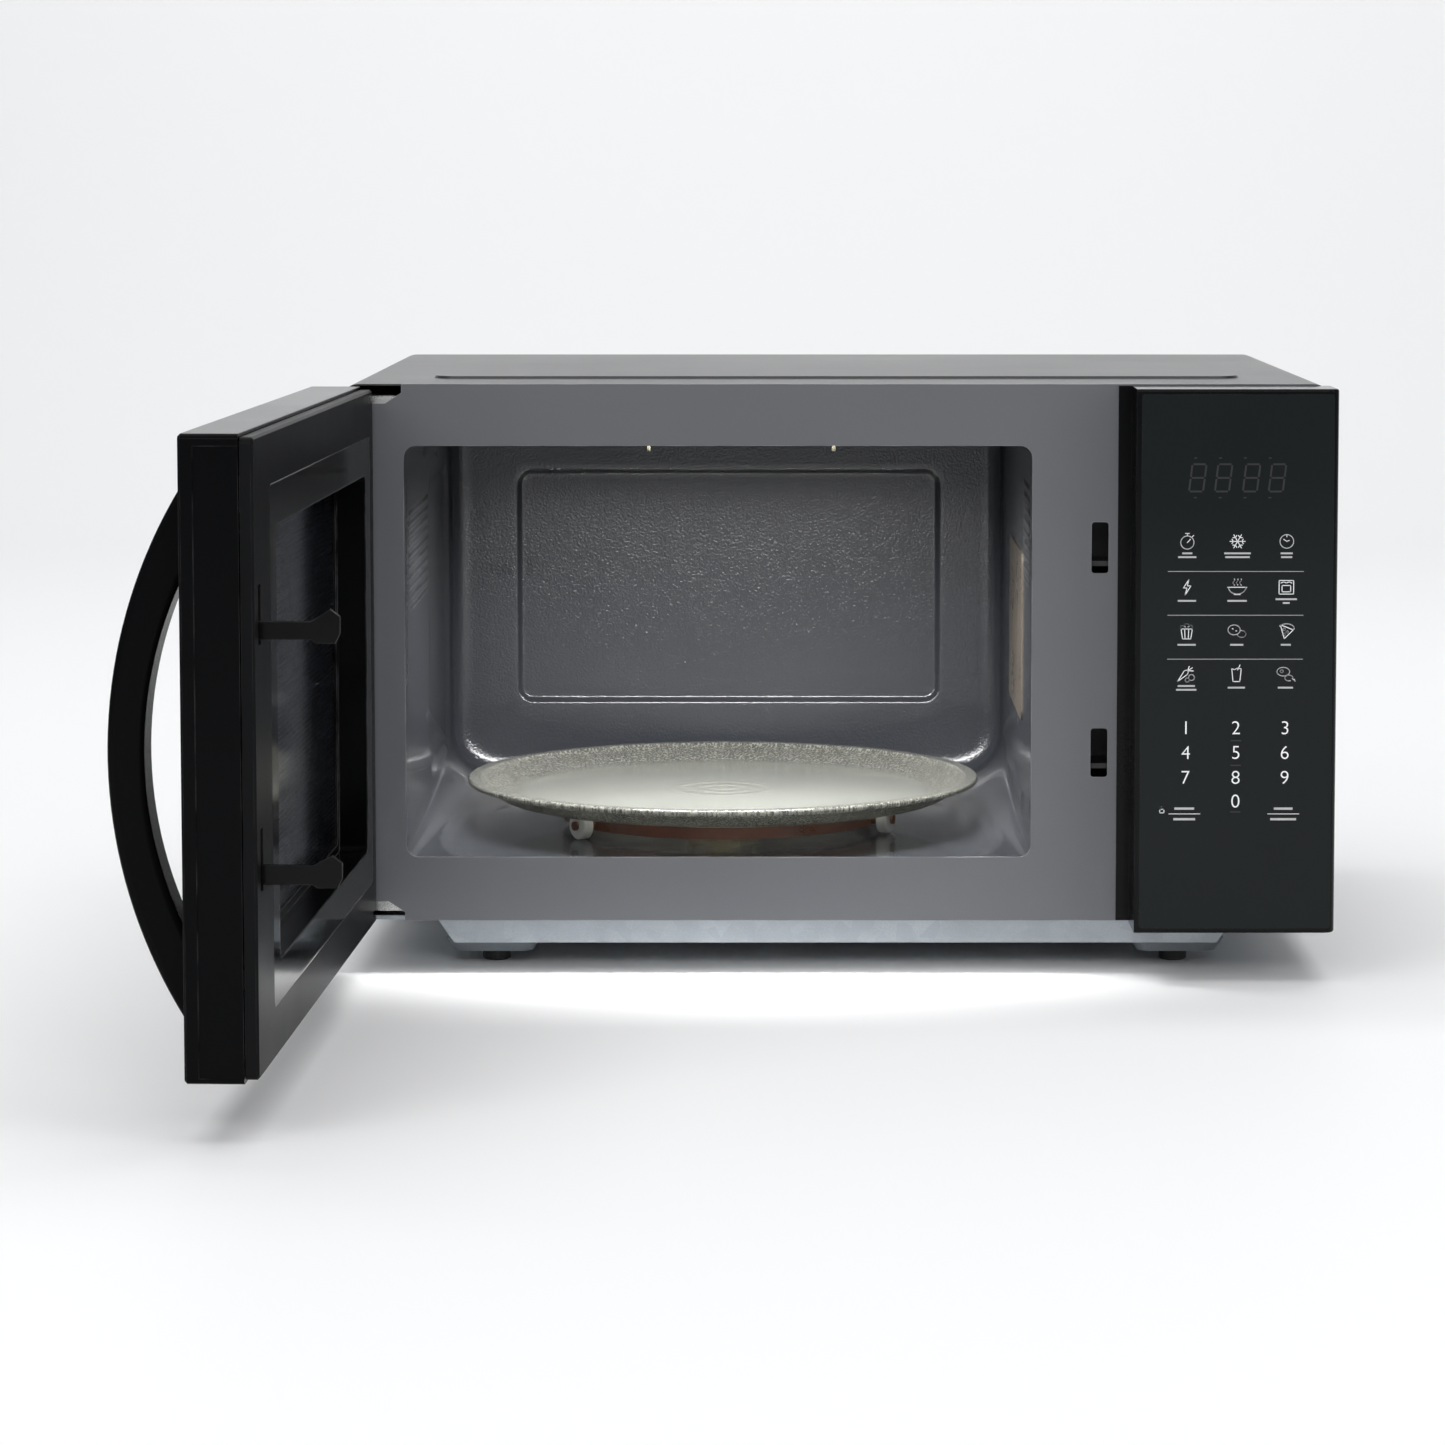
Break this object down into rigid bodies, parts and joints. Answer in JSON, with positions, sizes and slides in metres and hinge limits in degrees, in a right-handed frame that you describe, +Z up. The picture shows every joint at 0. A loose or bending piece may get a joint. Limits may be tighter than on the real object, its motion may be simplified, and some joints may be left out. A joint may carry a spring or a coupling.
{
  "type": "microwave oven",
  "caption": "Countertop microwave oven with grill, touch panel, glass turntable tray on a roller ring, and a side-hinged door with a bow handle, standing open.",
  "frame": {"origin": "on the standing plane, under the middle of the cabinet's footprint (door and control panel not counted)", "axes": "+X to the right seen from the front, +Y to the back, +Z up"},
  "size_m": [0.5452, 0.7367, 0.292],
  "materials": {
    "cover_enamel": "satin",
    "galvanised": "satin",
    "rubber": "matte",
    "black_plastic": "satin",
    "steel": "satin",
    "frame_enamel": "satin",
    "cavity_enamel": "satin",
    "mica": "matte",
    "fins": "satin",
    "core_steel": "matte",
    "copper": "satin",
    "can": "satin",
    "white_plastic": "satin",
    "lamp_glass": "gloss",
    "board": "matte",
    "amber_plastic": "satin",
    "tray_glass": "gloss",
    "ring_brown": "satin",
    "switch_plastic": "satin",
    "gloss_black": "gloss",
    "panel_gloss": "gloss",
    "plate_enamel": "satin",
    "film": "gloss",
    "screen_enamel": "matte",
    "hook_plastic": "satin"
  },
  "bodies": {
    "cabinet": {"air_guide": "galvanised", "base_plate": "galvanised", "capacitor": "can", "capacitor_clamp": "galvanised", "cavity_box": "cavity_enamel", "cavity_lamp": "lamp_glass", "control_board": "board", "control_panel_face": "panel_gloss", "control_panel_frame": "gloss_black", "cord_gland": "black_plastic", "cover_screws": "steel", "display_module": "black_plastic", "fan_duct": "white_plastic", "fan_motor": "core_steel", "filter_board": "board", "front_feet": "rubber", "front_frame": "frame_enamel", "fuse": "lamp_glass", "grill_heater": "steel", "heater_clips": "steel", "high_voltage_diode": "black_plastic", "lamp_holder": "galvanised", "latch_bracket": "black_plastic", "lower_hinge_bracket": "steel", "lower_switch": "switch_plastic", "magnetron": "steel", "magnetron_fins": "fins", "monitor_switch": "switch_plastic", "outer_cover": "cover_enamel", "rear_feet": "rubber", "rear_panel": "galvanised", "thermostats": "steel", "transformer_core": "core_steel", "transformer_windings": "copper", "turntable_motor": "steel", "upper_hinge_bracket": "steel", "upper_switch": "switch_plastic", "waveguide": "galvanised", "waveguide_cover": "mica"},
    "door": {"door_frame": "gloss_black", "door_front_glass": "panel_gloss", "door_inner_panel": "plate_enamel", "choke_cover": "gloss_black", "window_film": "film", "door_screen": "screen_enamel", "hinge_bushes": "white_plastic", "handle": "gloss_black", "handle_screws": "steel", "latch_spring": "steel"},
    "latch": {"latch_hooks": "hook_plastic"},
    "turntable": {"drive_coupler": "amber_plastic"},
    "tray": {"glass_tray": "tray_glass"},
    "ring": {"roller_ring": "ring_brown"},
    "wheel_1": {"roller_wheel_1": "white_plastic"},
    "wheel_2": {"roller_wheel_2": "white_plastic"},
    "wheel_3": {"roller_wheel_3": "white_plastic"},
    "fan": {"fan_blade": "white_plastic"},
    "upper_plunger": {"upper_switch_plunger": "white_plastic"},
    "monitor_plunger": {"monitor_switch_plunger": "white_plastic"},
    "lower_plunger": {"lower_switch_plunger": "white_plastic"}
  },
  "joints": [
    {"name": "door_hinge", "type": "hinge", "parent": "cabinet", "child": "door", "pos_m": [-0.2365, -0.1835, 0.157], "axis": [0, 0, -1], "range_deg": [-91.85, 15]},
    {"name": "latch_slide", "type": "slide", "parent": "door", "child": "latch", "axis": [0, 0, 1], "range_m": [0, 0.0045], "stiffness_N_per_m": 300, "springref_m": -0.008, "deforming": ["latch_spring"]},
    {"name": "turntable_spin", "type": "hinge", "parent": "cabinet", "child": "turntable", "pos_m": [-0.0578, -0.0135, 0.05], "axis": [0, 0, 1], "continuous": true},
    {"name": "tray_lift", "type": "slide", "parent": "turntable", "child": "tray", "axis": [0, 0, 1], "range_m": [0, 0.03]},
    {"name": "roller_ring_spin", "type": "hinge", "parent": "cabinet", "child": "ring", "pos_m": [-0.0578, -0.0135, 0.05], "axis": [0, 0, 1], "continuous": true},
    {"name": "wheel_1_spin", "type": "hinge", "parent": "ring", "child": "wheel_1", "pos_m": [-0.1303, -0.07014, 0.0576], "axis": [-0.788, -0.6157, 0], "continuous": true},
    {"name": "wheel_2_spin", "type": "hinge", "parent": "ring", "child": "wheel_2", "pos_m": [0.0275, -0.04796, 0.0576], "axis": [0.9272, -0.3746, 0], "continuous": true},
    {"name": "wheel_3_spin", "type": "hinge", "parent": "ring", "child": "wheel_3", "pos_m": [-0.0706, 0.0776, 0.0576], "axis": [-0.1392, 0.9903, 0], "continuous": true},
    {"name": "fan_spin", "type": "hinge", "parent": "cabinet", "child": "fan", "pos_m": [0.178, 0.157, 0.15], "axis": [0, 1, 0], "continuous": true},
    {"name": "upper_plunger_press", "type": "slide", "parent": "cabinet", "child": "upper_plunger", "axis": [0, 0, -1], "range_m": [0, 0.0015], "stiffness_N_per_m": 200, "springref_m": -0.001},
    {"name": "monitor_plunger_press", "type": "slide", "parent": "cabinet", "child": "monitor_plunger", "axis": [0, 0, -1], "range_m": [0, 0.0015], "stiffness_N_per_m": 200, "springref_m": -0.001},
    {"name": "lower_plunger_press", "type": "slide", "parent": "cabinet", "child": "lower_plunger", "axis": [0, 0, -1], "range_m": [0, 0.0015], "stiffness_N_per_m": 200, "springref_m": -0.001}
  ],
  "couplings": [
    {"joint": "roller_ring_spin", "follows": "turntable_spin", "ratio": 0.5},
    {"joint": "wheel_1_spin", "follows": "turntable_spin", "ratio": -6.4789},
    {"joint": "wheel_2_spin", "follows": "turntable_spin", "ratio": -6.4789},
    {"joint": "wheel_3_spin", "follows": "turntable_spin", "ratio": -6.4789}
  ]
}
